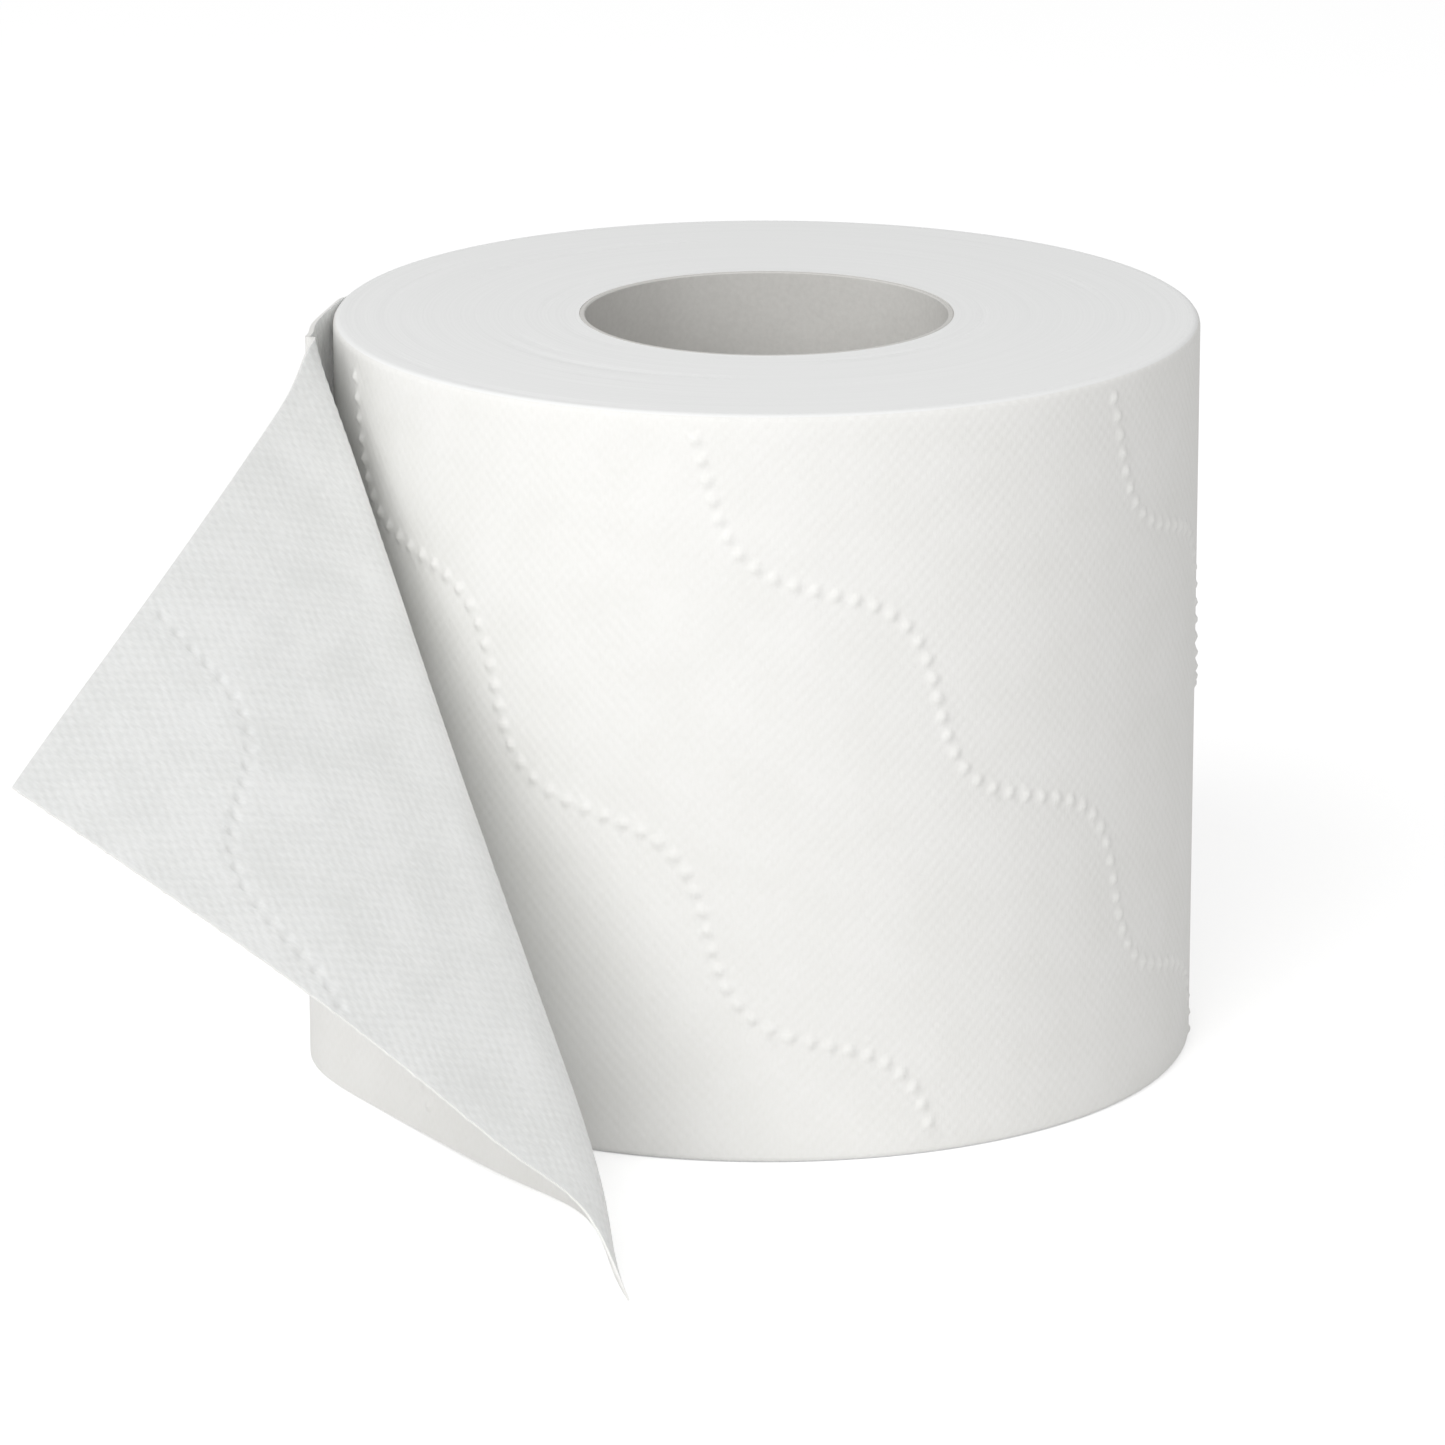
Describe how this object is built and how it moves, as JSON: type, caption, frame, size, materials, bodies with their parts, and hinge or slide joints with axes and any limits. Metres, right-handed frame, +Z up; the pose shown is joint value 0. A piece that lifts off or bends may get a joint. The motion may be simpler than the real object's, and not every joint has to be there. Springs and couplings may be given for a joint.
{
  "type": "toilet paper roll",
  "caption": "Roll of embossed bath tissue wound on a cardboard core, standing on its end, with its free end peeled off and folded over.",
  "frame": {"origin": "centre of the core's bore at the lower end face, on the surface that the roll stands on", "axes": "+Z up along the core's bore; -Y towards the viewer of the picture; the free end leaves at -X"},
  "size_m": [0.15, 0.1658, 0.1001],
  "materials": {
    "tissue": "matte",
    "core_board": "matte"
  },
  "bodies": {
    "root": {"tissue_web": "tissue", "core_tube": "core_board"}
  },
  "joints": []
}
